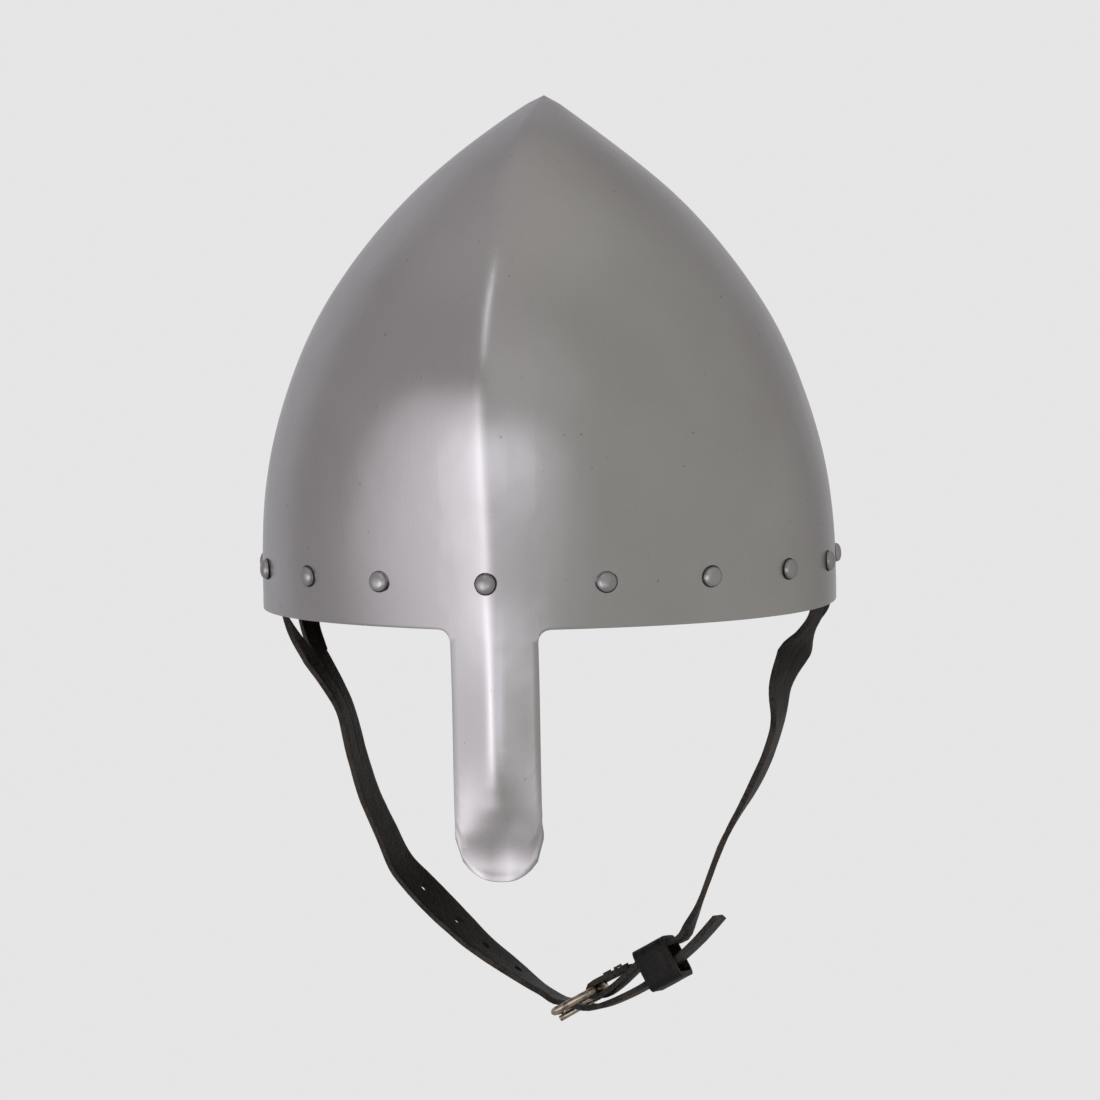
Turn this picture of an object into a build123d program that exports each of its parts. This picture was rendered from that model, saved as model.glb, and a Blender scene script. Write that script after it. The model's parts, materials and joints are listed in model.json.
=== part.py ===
from build123d import *
import os
from math import atan, cos, radians, sin, tan

os.makedirs("parts", exist_ok=True)

# Nasal helmet, worn upright. Millimetres, +Z up, the face looks along -Y.
# The origin is the centre of the rim plane. Right and left are the +X and -X sides.

# Skull: plan sections from below the nasal up to the point at the apex
wall = 2.0
apex_height = 183.0
section_heights = (-92, -45, -8, 12, 35, 60, 85, 105, 125, 143, 160, 172)
front_reach = (110, 111, 112, 113.5, 117, 120.2, 119, 111.5, 98.5, 80.5, 59.5, 35)
rear_reach = (116, 116.5, 117.5, 118.5, 120, 119.5, 114.5, 105.5, 92, 74, 51, 29)
side_reach = (104, 104, 104, 103.8, 102.4, 97.6, 89, 79.3, 65.8, 50.3, 31.2, 15.6)
front_crease = (14, 14, 13, 9, 8, 8, 8, 9, 12, 17, 24, 28)
rear_crease = 6.0
plan_fullness = 0.61
side_fullness = 0.57

# Nasal, in one piece with the skull
nasal_width = 29.6
nasal_length = 84.5
nasal_end_radius = 14.3
nasal_corner = 4.0
nasal_depth = 60.0

# Rivets round the rim, counted from the front to the back on each side
rivet_height = 15.6
rivets_per_side = 8
rivet_spacing = 38.2
front_rivet_offset = -1.4
front_rivet_standoff = 1.5
# The first rivet on the left stands a little further from the ridge than its fellow
left_rivet_drift = {1: 3.0}
rivet_shank = 3.0
rivet_head = 6.9
rivet_dome = 2.3
burr_diameter = 7.0
burr_thickness = 0.9
peen_diameter = 4.5
peen_height = 0.9
drill_depth = 8.0
strap_rivets = (4, 5)
gap = 0.05
head_seat = 0.2
clamp_slack = 0.15
leg_clamp_slack = 0.45

# Leather liner
leather = 1.6
band_bottom = 4.0
band_top = 27.0
tongue_heights = (20.6, 27.2, 50, 75, 100, 120, 134)
tongue_front_reach = (110.3, 111, 103, 89, 68, 45, 28)
tongue_rear_reach = (114.7, 115, 107, 92, 70, 46, 28)
tongue_side_reach = (98.9, 98.4, 91.5, 78.5, 61, 42.5, 28)
tongue_crease = (9, 9, 6, 4, 2, 0, 0)
tongues_per_side = 4
tongue_gap = 6.0
tunnel_height = 136.5
tunnel_bore = 4.2
tunnel_reach = 27.0
lace_diameter = 2.6
# Bend and tip of each lace end: sideways, back from the tunnel, and down
lace_bend = (1.4, 5, 7)
lace_tip = (4, 8, 22)
stitch_height = 24.0
stitch_length = 3.2
stitch_diameter = 0.8
stitches_per_side = 44

# Chin strap
strap_width = 16.0
strap_thickness = 2.0
leg_width = 7.8
leg_standoff = 0.7
leg_top_rise = 0.5
leg_front_shift = -3.5
leg_rear_shift = 1.5
leg_hole_slack = 0.4
leg_bend_share = 0.4
leg_overlap = 0.5
swing_y = -5.0
swing_z = -3.0
swing_gap = 0.2
hole_diameter = 3.2
# Punched holes: the station each follows, and how far on towards the next one
punched_holes = ((7, 0.35), (8, 0.85), (9, 0.9), (10, 0.95))
used_hole_length = 9.8
used_hole_place = (-7.3, -5)

# Buckle, laid along its own slanting line through the heel bar
heel_bar = (17.2, -143.9)
buckle_rise = 29.5
buckle_roll = -12.0
wire = 2.8
bar_gap = 0.15
frame_length = 17.0
frame_inner_width = 17.6
frame_corner = 1.8
prong_wire = 2.2
prong_ring = 2.8
prong_ring_diameter = 6.4
prong_overhang = 1.6
prong_root = (-0.8, 0.4)
slot_width = 3.6
slot_length = 9.0
keeper_start = 18.5
keeper_length = 14.0
keeper_low = -10.6
keeper_high = 6.2
keeper_wall = 1.8
keeper_inner_width = 17.6
fold_stitch_side = 5.0
fold_stitch_places = (6.5, 11.0)
stitch_lift = 0.95

beyond = 400.0


def leans(reach):
    """Lean of the wall from the vertical at each section, in radians."""
    heights = section_heights + (apex_height,)
    ends = reach + (0,)
    result = []
    for i in range(len(reach)):
        below = max(i - 1, 0)
        fall = max(ends[below] - ends[i + 1], 0)
        result.append(atan(fall / (heights[i + 1] - heights[below])))
    return result


front_lean = leans(front_reach)
rear_lean = leans(rear_reach)
side_lean = leans(side_reach)


def right_outline(front, rear, side, crease):
    """Right half of a plan outline, creased at the front and the back."""
    turn = radians(crease)
    back = radians(rear_crease)
    handle = plan_fullness * side
    Bezier(
        (0, -front),
        (handle * cos(turn), -front + handle * sin(turn)),
        (side, -side_fullness * front),
        (side, 0),
    )
    Bezier(
        (side, 0),
        (side, side_fullness * rear),
        (handle * cos(back), rear - handle * sin(back)),
        (0, rear),
    )


def half_face(height, front, rear, side, crease):
    with BuildSketch(Plane.XY.offset(height)) as section:
        with BuildLine():
            right_outline(front, rear, side, crease)
            Line((0, rear), (0, -front))
        make_face()
    return section.sketch


def half_hull(inset, first, last, tip=None):
    """Right half of the solid inside the skull surface set in by a distance."""
    sections = [
        half_face(
            section_heights[i],
            front_reach[i] - inset / cos(front_lean[i]),
            rear_reach[i] - inset / cos(rear_lean[i]),
            side_reach[i] - inset / cos(side_lean[i]),
            front_crease[i],
        )
        for i in range(first, last)
    ]
    if tip is not None:
        sections.append(Vertex(0, 0, tip))
    return loft(sections, mode=Mode.PRIVATE)


# Lines round the right side of the rim, from the ridge at the front to the back
def rim_line(index):
    with BuildLine() as line:
        right_outline(
            front_reach[index], rear_reach[index], side_reach[index], front_crease[index]
        )
    return Wire(line.edges()).moved(Location((0, 0, section_heights[index])))


rim_low = rim_line(3)
rim_high = rim_line(4)
rivet_share = (rivet_height - section_heights[3]) / (section_heights[4] - section_heights[3])


def rim_plane(distance, depth):
    """Plane on the right wall at rivet height, facing out, set in by a depth."""
    part = distance / rim_low.length
    point = rim_low.position_at(part)
    up = rim_high.position_at(part) - point
    along = rim_low.tangent_at(part)
    if distance == 0 or part == 1:
        along = Vector(1, 0, 0) if distance == 0 else Vector(-1, 0, 0)
    outward = along.cross(up).normalized()
    return Plane(point + up * rivet_share - outward * depth, x_dir=along, z_dir=outward)


def mirrored(plane):
    """The same plane on the left wall."""
    origin, along, outward = plane.origin, plane.x_dir, plane.z_dir
    return Plane(
        (-origin.X, origin.Y, origin.Z),
        x_dir=(-along.X, along.Y, along.Z),
        z_dir=(-outward.X, outward.Y, outward.Z),
    )


def rivet_planes(index, depth):
    """Right and left planes of one rivet; the front and back ones stand alone."""
    if index == 0:
        front = rim_plane(0, depth)
        front.origin = front.origin + Vector(front_rivet_offset, 0, 0)
        return [front]
    if index == rivets_per_side + 1:
        return [rim_plane(rim_low.length, depth)]
    left_distance = index * rivet_spacing + left_rivet_drift.get(index, 0)
    return [
        rim_plane(index * rivet_spacing, depth),
        mirrored(rim_plane(left_distance, depth)),
    ]


def grip(index):
    """What each rivet clamps between its head and its burr."""
    thickness = wall + leather + clamp_slack
    if index in strap_rivets:
        return thickness + leg_standoff + strap_thickness + leg_clamp_slack - clamp_slack
    if index in (0, rivets_per_side + 1):
        return thickness + front_rivet_standoff
    return thickness + 2 * gap


rivet_numbers = range(rivets_per_side + 2)

# Skull and nasal: half of it, then mirrored across the ridge
half_nasal = nasal_width / 2
with BuildPart() as skull:
    add(half_hull(0, 0, len(section_heights), apex_height))
    inner_tip = apex_height - wall / sin(side_lean[-1])
    add(half_hull(wall, 0, len(section_heights), inner_tip), mode=Mode.SUBTRACT)
    with Locations((0, beyond / 2 - nasal_depth, -beyond / 2)):
        Box(beyond, beyond, beyond, mode=Mode.SUBTRACT)
    with BuildSketch(Plane.XZ) as beside_nasal:
        with Locations((half_nasal + beyond / 4, -beyond / 4)):
            Rectangle(beyond / 2, beyond / 2)
        fillet(beside_nasal.vertices().sort_by(lambda v: v.X - v.Y)[0], nasal_corner)
    extrude(amount=beyond, both=True, mode=Mode.SUBTRACT)
    with Locations((0, 0, -nasal_length - beyond / 2)):
        Box(beyond, beyond, beyond, mode=Mode.SUBTRACT)
    low_edges = skull.edges().filter_by(lambda e: e.length < 3 * wall).group_by(Axis.Z)[0]
    fillet(low_edges.sort_by(Axis.X)[-1], nasal_end_radius)
    mirror(about=Plane.YZ)
    for index in rivet_numbers:
        for plane in rivet_planes(index, -1):
            with BuildSketch(plane):
                Circle(rivet_shank / 2 + gap)
            extrude(amount=-drill_depth, mode=Mode.SUBTRACT)
skull.part.label = "skull"
export_step(skull.part, "parts/skull.step")

# Rivets: a low dome outside, a shank through the layers, a peened end inside
with BuildPart() as rim_rivets:
    for index in rivet_numbers:
        for plane in rivet_planes(index, -head_seat):
            sphere = (rivet_dome**2 + (rivet_head / 2) ** 2) / (2 * rivet_dome)
            length = grip(index) + head_seat + burr_thickness + 2 * gap
            across = plane.x_dir.cross(plane.z_dir)
            with BuildSketch(Plane(plane.origin, x_dir=plane.x_dir, z_dir=across)):
                with BuildLine():
                    Line((0, rivet_dome), (0, 0))
                    Line((0, 0), (rivet_head / 2, 0))
                    RadiusArc((rivet_head / 2, 0), (0, rivet_dome), -sphere)
                make_face()
            revolve(axis=Axis(plane.origin, plane.z_dir))
            with BuildSketch(plane):
                Circle(rivet_shank / 2)
            extrude(amount=-length)
            with BuildSketch(plane.offset(-length)):
                Circle(peen_diameter / 2)
            extrude(amount=-peen_height)
rim_rivets.part.label = "rim_rivets"
export_step(rim_rivets.part, "parts/rim_rivets.step")

with BuildPart() as rivet_burrs:
    for index in rivet_numbers:
        for plane in rivet_planes(index, grip(index)):
            with BuildSketch(plane):
                Circle(burr_diameter / 2)
                Circle(rivet_shank / 2 + gap, mode=Mode.SUBTRACT)
            extrude(amount=-burr_thickness)
rivet_burrs.part.label = "rivet_burrs"
export_step(rivet_burrs.part, "parts/rivet_burrs.step")

# Headband: follows the inner wall just clear of it
sections_of_band = (2, 6)
with BuildPart() as liner_band:
    add(half_hull(wall + gap, *sections_of_band))
    add(half_hull(wall + gap + leather, *sections_of_band), mode=Mode.SUBTRACT)
    with Locations((0, 0, band_top + beyond / 2), (0, 0, band_bottom - beyond / 2)):
        Box(beyond, beyond, beyond, mode=Mode.SUBTRACT)
    mirror(about=Plane.YZ)
    for index in rivet_numbers:
        for plane in rivet_planes(index, 0):
            with BuildSketch(plane):
                Circle(rivet_shank / 2 + gap)
            extrude(amount=-drill_depth, mode=Mode.SUBTRACT)
liner_band.part.label = "liner_band"
export_step(liner_band.part, "parts/liner_band.step")


# Liner tongues: petals of one leather dome, each ending in a tunnel for the lace
def half_dome(inset):
    sections = [
        half_face(height, front - inset, rear - inset, side - inset, crease)
        for height, front, rear, side, crease in zip(
            tongue_heights,
            tongue_front_reach,
            tongue_rear_reach,
            tongue_side_reach,
            tongue_crease,
        )
    ]
    return loft(sections, mode=Mode.PRIVATE)


dome_outer = half_dome(0)
dome_inner = half_dome(leather)
petal_angle = 180 / tongues_per_side
for number in range(2 * tongues_per_side):
    right = number < tongues_per_side
    place = number if right else 2 * tongues_per_side - 1 - number
    middle = -90 + petal_angle * (place + 0.5)
    with BuildPart() as tongue:
        add(dome_outer)
        add(dome_inner, mode=Mode.SUBTRACT)
        with BuildSketch(Plane.XZ) as tunnel_ring:
            with Locations((tunnel_reach, tunnel_height)):
                Circle(tunnel_bore / 2 + leather)
        revolve(axis=Axis.Z)
        with BuildSketch(Plane.XZ):
            with Locations((tunnel_reach, tunnel_height)):
                Circle(tunnel_bore / 2)
        revolve(axis=Axis.Z, mode=Mode.SUBTRACT)
        with BuildSketch(Plane.XY.rotated((0, 0, middle))):
            slope = tan(radians(petal_angle / 2))
            start = tongue_gap / 2 / sin(radians(petal_angle / 2))
            wide = (beyond / 2 - start) * slope
            Polygon((start, 0), (beyond / 2, -wide), (beyond / 2, wide), align=None)
        extrude(amount=beyond, mode=Mode.INTERSECT)
        if not right:
            mirror(about=Plane.YZ, mode=Mode.REPLACE)
    tongue.part.label = f"liner_tongue_{number + 1}"
    print(tongue.part.label, len(tongue.part.solids()), round(tongue.part.volume))
    export_step(tongue.part, f"parts/liner_tongue_{number + 1}.step")

# Lace through the tunnels, with its knot and two short ends
with BuildPart() as crown_lace:
    with BuildSketch(Plane.XZ):
        with Locations((tunnel_reach, tunnel_height)):
            Circle(lace_diameter / 2)
    revolve(axis=Axis.Z)
    with Locations((0, -tunnel_reach, tunnel_height)):
        Sphere(lace_diameter)
    for side in (-1, 1):
        places = [
            (side * away, -tunnel_reach + back, tunnel_height - down)
            for away, back, down in ((0, 0, 0), lace_bend, lace_tip)
        ]
        with BuildLine() as end:
            ThreePointArc(*places)
        with BuildSketch(Plane(end.line @ 0, z_dir=end.line % 0)):
            Circle(lace_diameter / 2)
        sweep(path=end.line)
crown_lace.part.label = "crown_lace"
export_step(crown_lace.part, "parts/crown_lace.step")

# Thread that sews the tongues to the band: short stitches in a row round the inside
with BuildLine() as stitch_line:
    right_outline(
        tongue_front_reach[0] - leather - stitch_diameter,
        tongue_rear_reach[0] - leather - stitch_diameter,
        tongue_side_reach[1] - leather - stitch_diameter,
        tongue_crease[0],
    )
stitch_wire = Wire(stitch_line.edges())
with BuildPart() as liner_stitching:
    for number in range(stitches_per_side):
        part = (number + 0.5) / stitches_per_side
        middle = stitch_wire.position_at(part)
        near_slit = [
            abs(middle.X * cos(radians(angle)) - middle.Y * sin(radians(angle)))
            < tongue_gap / 2 + stitch_length
            for angle in (0, petal_angle, 2 * petal_angle, 3 * petal_angle, 180)
        ]
        if any(near_slit):
            continue
        along = stitch_wire.tangent_at(part)
        start = Vector(middle.X, middle.Y, stitch_height) - along * (stitch_length / 2)
        with BuildSketch(Plane(start, z_dir=along)):
            Circle(stitch_diameter / 2)
        extrude(amount=stitch_length)
    mirror(about=Plane.YZ)
liner_stitching.part.label = "liner_stitching"
export_step(liner_stitching.part, "parts/liner_stitching.step")

# Strap legs: the slit upper ends of the chin straps, held flat by rivets 4 and 5
leg_depth = wall + gap + leather + gap + leg_standoff
leg_drop = rivet_height - swing_z - swing_gap
leg_shifts = {strap_rivets[0]: leg_front_shift, strap_rivets[1]: leg_rear_shift}


def leg_plane(index):
    """Plane on the strap leg's outer face: x forward along the wall, y up, z inward."""
    rivet = rim_plane(index * rivet_spacing, leg_depth)
    level = Vector(rivet.z_dir.X, rivet.z_dir.Y, 0).normalized()
    return Plane(rivet.origin, x_dir=level.cross(Vector(0, 0, 1)), z_dir=-level)


leg_names = {strap_rivets[0]: "front", strap_rivets[1]: "rear"}
for index in strap_rivets:
    for side in ("right", "left"):
        with BuildPart() as leg:
            shift = leg_shifts[index]
            half_leg = leg_width / 2
            with BuildSketch(leg_plane(index)):
                with Locations((0, leg_top_rise)):
                    Circle(half_leg)
                Polygon(
                    (-half_leg, leg_top_rise),
                    (half_leg, leg_top_rise),
                    (half_leg + shift, -leg_drop),
                    (-half_leg + shift, -leg_drop),
                    align=None,
                )
                Circle(rivet_shank / 2 + leg_hole_slack, mode=Mode.SUBTRACT)
            extrude(amount=strap_thickness)
            if side == "left":
                mirror(about=Plane.YZ, mode=Mode.REPLACE)
        leg.part.label = f"strap_leg_{side}_{leg_names[index]}"
        export_step(leg.part, f"parts/strap_leg_{side}_{leg_names[index]}.step")

# Chin straps: flat leather laid along stations of (x, z, twist) in the loop's plane, where
# a positive twist turns the rear edge towards the inside of the loop
long_strap_stations = (
    (-88.3, -21, 15),
    (-82.9, -29.7, 9),
    (-77.2, -41, 4),
    (-73, -58.2, 6),
    (-68.6, -72.7, 8),
    (-62.6, -86.4, 10),
    (-57.2, -98, 15),
    (-51, -105.4, 20),
    (-44.8, -111.7, 21),
    (-35, -121.2, 17),
    (-25, -130, 9),
    (-13.6, -138.2, 1),
    (-5, -144.3, -7),
)
short_strap_stations = (
    (89.2, -19, -36),
    (84.4, -31, -20),
    (83, -46, -6),
    (75.7, -65, -7),
    (63.4, -87.4, 2),
    (55.2, -108.5, 2),
    (51.2, -117.5, -6),
)
# Where the straps run through the buckle and the keeper, in the buckle's own frame
long_strap_in_buckle = (
    (-16.1, 4.0),
    (-12.5, 1.1),
    (-9.5, -1.7),
    (-5, -4.8),
    (3, -6.4),
    (15.6, -6.9),
    (24, -5.8),
    (30.4, -4.3),
    (42.2, -1.2),
    (52.5, 2.5),
)
short_strap_in_buckle = ((37, 2.4), (31, 2.7), (25, 2.4), (19, 1.3), (13, -0.3))
fold_radius = wire / 2 + bar_gap
flap_length = 14.5
flap_rise = 1.9
join_overlap = 0.4

rise = radians(buckle_rise)
roll = radians(buckle_roll)
bar_centre = Vector(heel_bar[0], swing_y, heel_bar[1])
buckle_along = Vector(cos(rise), 0, sin(rise))
loop_inward = Vector(-sin(rise), 0, cos(rise))
strap_across = Vector(0, cos(roll), 0) + loop_inward * sin(roll)
# Local frame of the buckle: x up the short strap, y to the inside of the loop, z forward
buckle_plane = Plane(bar_centre, x_dir=buckle_along, z_dir=-strap_across)


def in_loop(stations):
    return tuple((x, swing_y, z, twist) for x, z, twist in stations)


def in_buckle(stations):
    points = [buckle_plane.from_local_coords(Vector(x, y, 0)) for x, y in stations]
    return tuple((point.X, point.Y, point.Z, buckle_roll) for point in points)


def strip(stations, inward, width=strap_width, first_along=None):
    """Flat strip lofted along stations; inward is 1 or -1 for the way the loop runs."""
    sections = []
    for i, (x, y, z, twist) in enumerate(stations):
        before = stations[max(i - 1, 0)]
        after = stations[min(i + 1, len(stations) - 1)]
        along = Vector(after[0] - before[0], 0, after[2] - before[2]).normalized()
        if i == 0 and first_along is not None:
            along = first_along
        side = Vector(-along.Z, 0, along.X) * inward
        across = Vector(0, cos(radians(twist)), 0) + side * sin(radians(twist))
        with BuildSketch(Plane((x, y, z), x_dir=across, z_dir=along)) as section:
            Rectangle(width, strap_thickness)
        sections.append(section.sketch)
    return loft(sections, mode=Mode.PRIVATE)


def leg_foot(index, right):
    """Middle of the lower end of a strap leg."""
    foot = leg_plane(index).from_local_coords(
        Vector(leg_shifts[index], -leg_drop - 2 * swing_gap, strap_thickness / 2)
    )
    return foot if right else Vector(-foot.X, foot.Y, foot.Z)


def strap_with_legs(stations, inward, right):
    """The strip with its two slit legs, from just under the hinge line."""
    solid = strip(stations, inward)
    top = stations[0]
    for index in strap_rivets:
        foot = leg_foot(index, right)
        rear = 1 if foot.Y > swing_y else -1
        middle = swing_y + rear * (strap_width - leg_width) / 2
        leg_stations = (
            (foot.X, foot.Y, foot.Z, 0),
            (
                foot.X + (top[0] - foot.X) * leg_bend_share,
                (foot.Y + middle) / 2,
                (foot.Z + top[2]) / 2,
                0,
            ),
            (top[0], middle, top[2] - leg_overlap, top[3] / 2),
        )
        solid += strip(leg_stations, inward, leg_width, Vector(0, 0, -1))
    return solid


long_strap_path = in_loop(long_strap_stations) + in_buckle(long_strap_in_buckle)
with BuildPart() as chin_strap_long:
    add(strap_with_legs(long_strap_path, 1, False))
    for i, part in punched_holes:
        first, second = long_strap_path[i], long_strap_path[i + 1]
        x = first[0] + part * (second[0] - first[0])
        z = first[2] + part * (second[2] - first[2])
        along = Vector(second[0] - first[0], 0, second[2] - first[2]).normalized()
        side = Vector(-along.Z, 0, along.X)
        twist = radians(first[3])
        normal = side * cos(twist) - Vector(0, sin(twist), 0)
        with BuildSketch(Plane((x, swing_y, z), z_dir=normal)):
            Circle(hole_diameter / 2)
        extrude(amount=strap_thickness, both=True, mode=Mode.SUBTRACT)
    # the hole in use, pulled long by the prong
    with BuildSketch(buckle_plane):
        with Locations(used_hole_place):
            Rectangle(used_hole_length, used_hole_length)
    extrude(amount=slot_width / 2, both=True, mode=Mode.SUBTRACT)
chin_strap_long.part.label = "chin_strap_long"
export_step(chin_strap_long.part, "parts/chin_strap_long.step")

short_strap_path = in_loop(short_strap_stations) + in_buckle(short_strap_in_buckle)
with BuildPart() as chin_strap_short:
    add(strap_with_legs(short_strap_path, -1, True))
    # the end folded round the heel bar, with its flap on the inside of the loop
    with BuildSketch(buckle_plane.offset(-strap_width / 2)) as fold:
        inner = fold_radius
        outer = fold_radius + strap_thickness
        half = strap_thickness / 2
        join_x, join_y = short_strap_in_buckle[-1]
        join_x = join_x + join_overlap
        with BuildLine():
            Line((join_x, join_y - half), (0, -outer))
            RadiusArc((0, -outer), (0, outer), outer)
            Line((0, outer), (flap_length, flap_rise + half))
            Line((flap_length, flap_rise + half), (flap_length, flap_rise - half))
            Line((flap_length, flap_rise - half), (0, inner))
            RadiusArc((0, inner), (0, -inner), -inner)
            Line((0, -inner), (join_x, join_y + half))
            Line((join_x, join_y + half), (join_x, join_y - half))
        make_face()
    extrude(amount=strap_width)
    # slot for the prong
    with BuildSketch(buckle_plane):
        Rectangle(slot_length, slot_length)
    extrude(amount=slot_width / 2, both=True, mode=Mode.SUBTRACT)
chin_strap_short.part.label = "chin_strap_short"
export_step(chin_strap_short.part, "parts/chin_strap_short.step")
for strap in (chin_strap_long, chin_strap_short):
    print(strap.part.label, len(strap.part.solids()), round(strap.part.volume), strap.part.is_valid)

# Buckle frame: round wire bent to a rectangle
with BuildPart() as buckle_frame:
    with BuildSketch(Plane(bar_centre, x_dir=buckle_along, z_dir=buckle_plane.y_dir)) as outline:
        with Locations((-frame_length / 2, 0)):
            RectangleRounded(frame_length, frame_inner_width + wire, frame_corner)
    frame_path = outline.sketch.wire()
    with BuildSketch(Plane(frame_path @ 0, z_dir=frame_path % 0)) as wire_end:
        Circle(wire / 2)
    sweep(wire_end.sketch, path=frame_path)
buckle_frame.part.label = "buckle_frame"
export_step(buckle_frame.part, "parts/buckle_frame.step")
print("buckle_frame", round(buckle_frame.part.volume), buckle_frame.part.is_valid)

# Prong: a ring round the heel bar and a round pin resting on the front bar
with BuildPart() as buckle_prong:
    with BuildSketch(buckle_plane.offset(-prong_ring / 2)):
        Circle(prong_ring_diameter / 2)
    extrude(amount=prong_ring)
    rest = wire / 2 + prong_wire / 2 + gap
    root = buckle_plane.from_local_coords(Vector(prong_root[0], prong_root[1] - rest, 0))
    point = buckle_plane.from_local_coords(Vector(-frame_length - prong_overhang, -rest, 0))
    with BuildSketch(Plane(root, z_dir=point - root)):
        Circle(prong_wire / 2)
    extrude(amount=(point - root).length)
    with BuildSketch(buckle_plane.offset(-prong_wire)):
        Circle(wire / 2 + gap)
    extrude(amount=2 * prong_wire, mode=Mode.SUBTRACT)
buckle_prong.part.label = "buckle_prong"
export_step(buckle_prong.part, "parts/buckle_prong.step")

# Keeper: a loose closed band of leather round both straps
with BuildPart() as strap_keeper:
    keeper_tall = keeper_high - keeper_low
    keeper_wide = keeper_inner_width + 2 * keeper_wall
    start = bar_centre + buckle_along * keeper_start
    with BuildSketch(Plane(start, x_dir=strap_across, z_dir=buckle_along)):
        with Locations((0, (keeper_low + keeper_high) / 2)):
            RectangleRounded(keeper_wide, keeper_tall, 2 * keeper_wall)
            RectangleRounded(
                keeper_inner_width, keeper_tall - 2 * keeper_wall, keeper_wall, mode=Mode.SUBTRACT
            )
    extrude(amount=keeper_length)
strap_keeper.part.label = "strap_keeper"
export_step(strap_keeper.part, "parts/strap_keeper.step")

# Thread through the fold, in two rows beside the slot
with BuildPart() as fold_stitching:
    for across in (-fold_stitch_side, fold_stitch_side):
        for place in fold_stitch_places:
            with BuildSketch(buckle_plane.offset(across)):
                with Locations((place, flap_rise + strap_thickness / 2 + stitch_lift)):
                    Rectangle(stitch_length, stitch_diameter)
            extrude(amount=stitch_diameter / 2, both=True)
fold_stitching.part.label = "fold_stitching"
export_step(fold_stitching.part, "parts/fold_stitching.step")
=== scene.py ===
import json
import math

import bmesh
import bpy
from mathutils import Matrix, Vector, noise
from mathutils.bvhtree import BVHTree


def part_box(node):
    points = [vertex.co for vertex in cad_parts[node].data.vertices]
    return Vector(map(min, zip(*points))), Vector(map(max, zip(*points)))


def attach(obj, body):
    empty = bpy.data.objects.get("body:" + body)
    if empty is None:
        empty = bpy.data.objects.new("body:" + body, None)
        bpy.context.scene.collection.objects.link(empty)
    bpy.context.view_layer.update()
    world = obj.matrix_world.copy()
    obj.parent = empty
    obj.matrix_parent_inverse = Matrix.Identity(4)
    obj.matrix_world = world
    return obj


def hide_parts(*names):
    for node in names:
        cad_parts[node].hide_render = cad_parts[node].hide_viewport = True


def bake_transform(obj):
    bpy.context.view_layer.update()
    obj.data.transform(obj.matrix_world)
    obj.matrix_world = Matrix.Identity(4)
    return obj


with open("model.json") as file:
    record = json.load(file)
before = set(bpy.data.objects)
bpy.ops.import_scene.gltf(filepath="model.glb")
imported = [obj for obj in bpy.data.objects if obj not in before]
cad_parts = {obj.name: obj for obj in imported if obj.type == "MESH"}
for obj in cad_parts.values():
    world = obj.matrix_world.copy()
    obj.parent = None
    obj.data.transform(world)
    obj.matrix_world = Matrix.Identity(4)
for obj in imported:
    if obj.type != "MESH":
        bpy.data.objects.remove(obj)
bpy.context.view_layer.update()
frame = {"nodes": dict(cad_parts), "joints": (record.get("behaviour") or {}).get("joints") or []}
cadNodes = frame["nodes"]
joints = {joint["name"]: joint for joint in frame["joints"]}
print("frame loaded,", len(cadNodes), "nodes")


# shader maths: sockets in sums, and nodes by their type
class Value:
    # a socket that can be used in sums

    def __init__(self, shader, socket):
        self.shader = shader
        self.socket = socket

    def maths(self, operation, first, second):
        return self.shader.node("Math", {"operation": operation}, {0: first, 1: second})

    def __add__(self, other):
        return self.maths("ADD", self, other)

    def __radd__(self, other):
        return self.maths("ADD", other, self)

    def __sub__(self, other):
        return self.maths("SUBTRACT", self, other)

    def __rsub__(self, other):
        return self.maths("SUBTRACT", other, self)

    def __mul__(self, other):
        return self.maths("MULTIPLY", self, other)

    def __rmul__(self, other):
        return self.maths("MULTIPLY", other, self)


class Shader:
    def __init__(self, owner):
        owner.use_nodes = True
        self.tree = owner.node_tree
        self.tree.nodes.clear()

    def node(self, kind, settings, sockets, output=0):
        made = self.tree.nodes.new("ShaderNode" + kind)
        for name, value in settings.items():
            setattr(made, name, value)
        for name, value in sockets.items():
            if isinstance(value, Value):
                self.tree.links.new(value.socket, made.inputs[name])
            else:
                made.inputs[name].default_value = value
        return Value(self, made.outputs[output])

    def place(self, stretch=(1, 1, 1)):
        here = self.node("TexCoord", {}, {}, "Object")
        return self.node("Mapping", {}, {"Vector": here, "Scale": stretch})

    def noise(self, scale, detail=3, stretch=(1, 1, 1), distortion=0, rough=0.5):
        sockets = {
            "Vector": self.place(stretch),
            "Scale": scale,
            "Detail": detail,
            "Roughness": rough,
            "Distortion": distortion,
        }
        return self.node("TexNoise", {}, sockets)

    def cells(self, scale):
        return self.node("TexVoronoi", {}, {"Vector": self.place(), "Scale": scale})

    def step(self, value, low, high, first=0.0, last=1.0):
        # a soft change from first to last while the value goes from low to high
        sockets = {"Value": value, "From Min": low, "From Max": high, "To Min": first, "To Max": last}
        return self.node("MapRange", {"interpolation_type": "SMOOTHSTEP"}, sockets)

    def mix(self, share, first, second):
        sockets = {0: share, 6: first, 7: second}
        return self.node("Mix", {"data_type": "RGBA"}, sockets, 2)

    def bump(self, height, strength, distance):
        sockets = {"Height": height, "Strength": strength, "Distance": distance}
        return self.node("Bump", {}, sockets)

    def output(self, kind, value):
        made = self.tree.nodes.new("ShaderNodeOutput" + kind)
        self.tree.links.new(value.socket, made.inputs["Surface"])

    def surface(self, sockets):
        self.output("Material", self.node("BsdfPrincipled", {}, sockets))


def newMaterial(name):
    material = bpy.data.materials.new(name)
    return material, Shader(material)


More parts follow.
